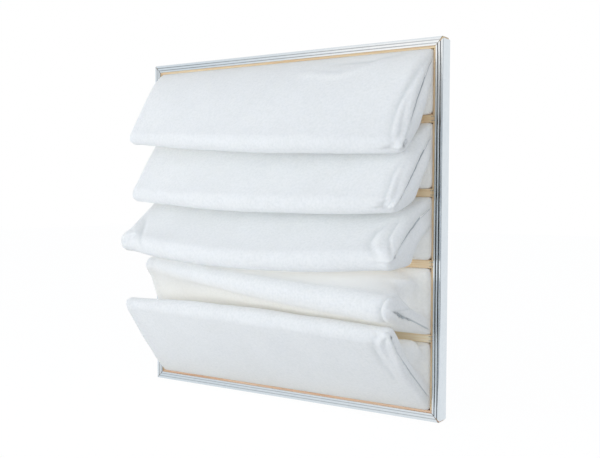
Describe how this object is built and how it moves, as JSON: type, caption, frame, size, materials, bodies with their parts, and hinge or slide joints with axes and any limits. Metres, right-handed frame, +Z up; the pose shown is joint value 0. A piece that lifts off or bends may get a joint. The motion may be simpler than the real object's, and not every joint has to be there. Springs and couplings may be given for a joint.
{
  "type": "bag air filter",
  "caption": "Pocket air filter for a ventilation duct: square header of galvanised channel over a pine frame with crossbars, and soft white felt pockets that stand out on the leaving side.",
  "frame": {"origin": "middle of the header's bottom edge: centre of its width and of its depth, on the underside", "axes": "+Z up along the header's height, +X across it, -Y the way the air leaves and the pockets stand out"},
  "size_m": [0.592, 0.1755, 0.592],
  "materials": {
    "galvanised_steel": "bright zinc, lightly rolled",
    "pine": "planed, untreated",
    "felt": "needled polyester felt, matt white",
    "staple_wire": "plain drawn wire"
  },
  "bodies": {
    "root": {"bar_staple_1_left_lower": "staple_wire", "bar_staple_1_left_upper": "staple_wire", "bar_staple_1_right_lower": "staple_wire", "bar_staple_1_right_upper": "staple_wire", "bar_staple_2_left_lower": "staple_wire", "bar_staple_2_left_upper": "staple_wire", "bar_staple_2_right_lower": "staple_wire", "bar_staple_2_right_upper": "staple_wire", "bar_staple_3_left_lower": "staple_wire", "bar_staple_3_left_upper": "staple_wire", "bar_staple_3_right_lower": "staple_wire", "bar_staple_3_right_upper": "staple_wire", "bar_staple_4_left_lower": "staple_wire", "bar_staple_4_left_upper": "staple_wire", "bar_staple_4_right_lower": "staple_wire", "bar_staple_4_right_upper": "staple_wire", "batten_bottom": "pine", "batten_left": "pine", "batten_right": "pine", "batten_top": "pine", "crossbar_1": "pine", "crossbar_2": "pine", "crossbar_3": "pine", "crossbar_4": "pine", "filter_pocket_1": "felt", "filter_pocket_2": "felt", "filter_pocket_3": "felt", "filter_pocket_4": "felt", "filter_pocket_5": "felt", "header_rail_bottom": "galvanised_steel", "header_rail_left": "galvanised_steel", "header_rail_right": "galvanised_steel", "header_rail_top": "galvanised_steel", "hem_staple_1_1": "staple_wire", "hem_staple_1_2": "staple_wire", "hem_staple_1_3": "staple_wire", "hem_staple_1_4": "staple_wire", "hem_staple_2_1": "staple_wire", "hem_staple_2_2": "staple_wire", "hem_staple_2_3": "staple_wire", "hem_staple_2_4": "staple_wire", "hem_staple_3_1": "staple_wire", "hem_staple_3_2": "staple_wire", "hem_staple_3_3": "staple_wire", "hem_staple_3_4": "staple_wire", "hem_staple_4_1": "staple_wire", "hem_staple_4_2": "staple_wire", "hem_staple_4_3": "staple_wire", "hem_staple_4_4": "staple_wire"}
  },
  "joints": []
}
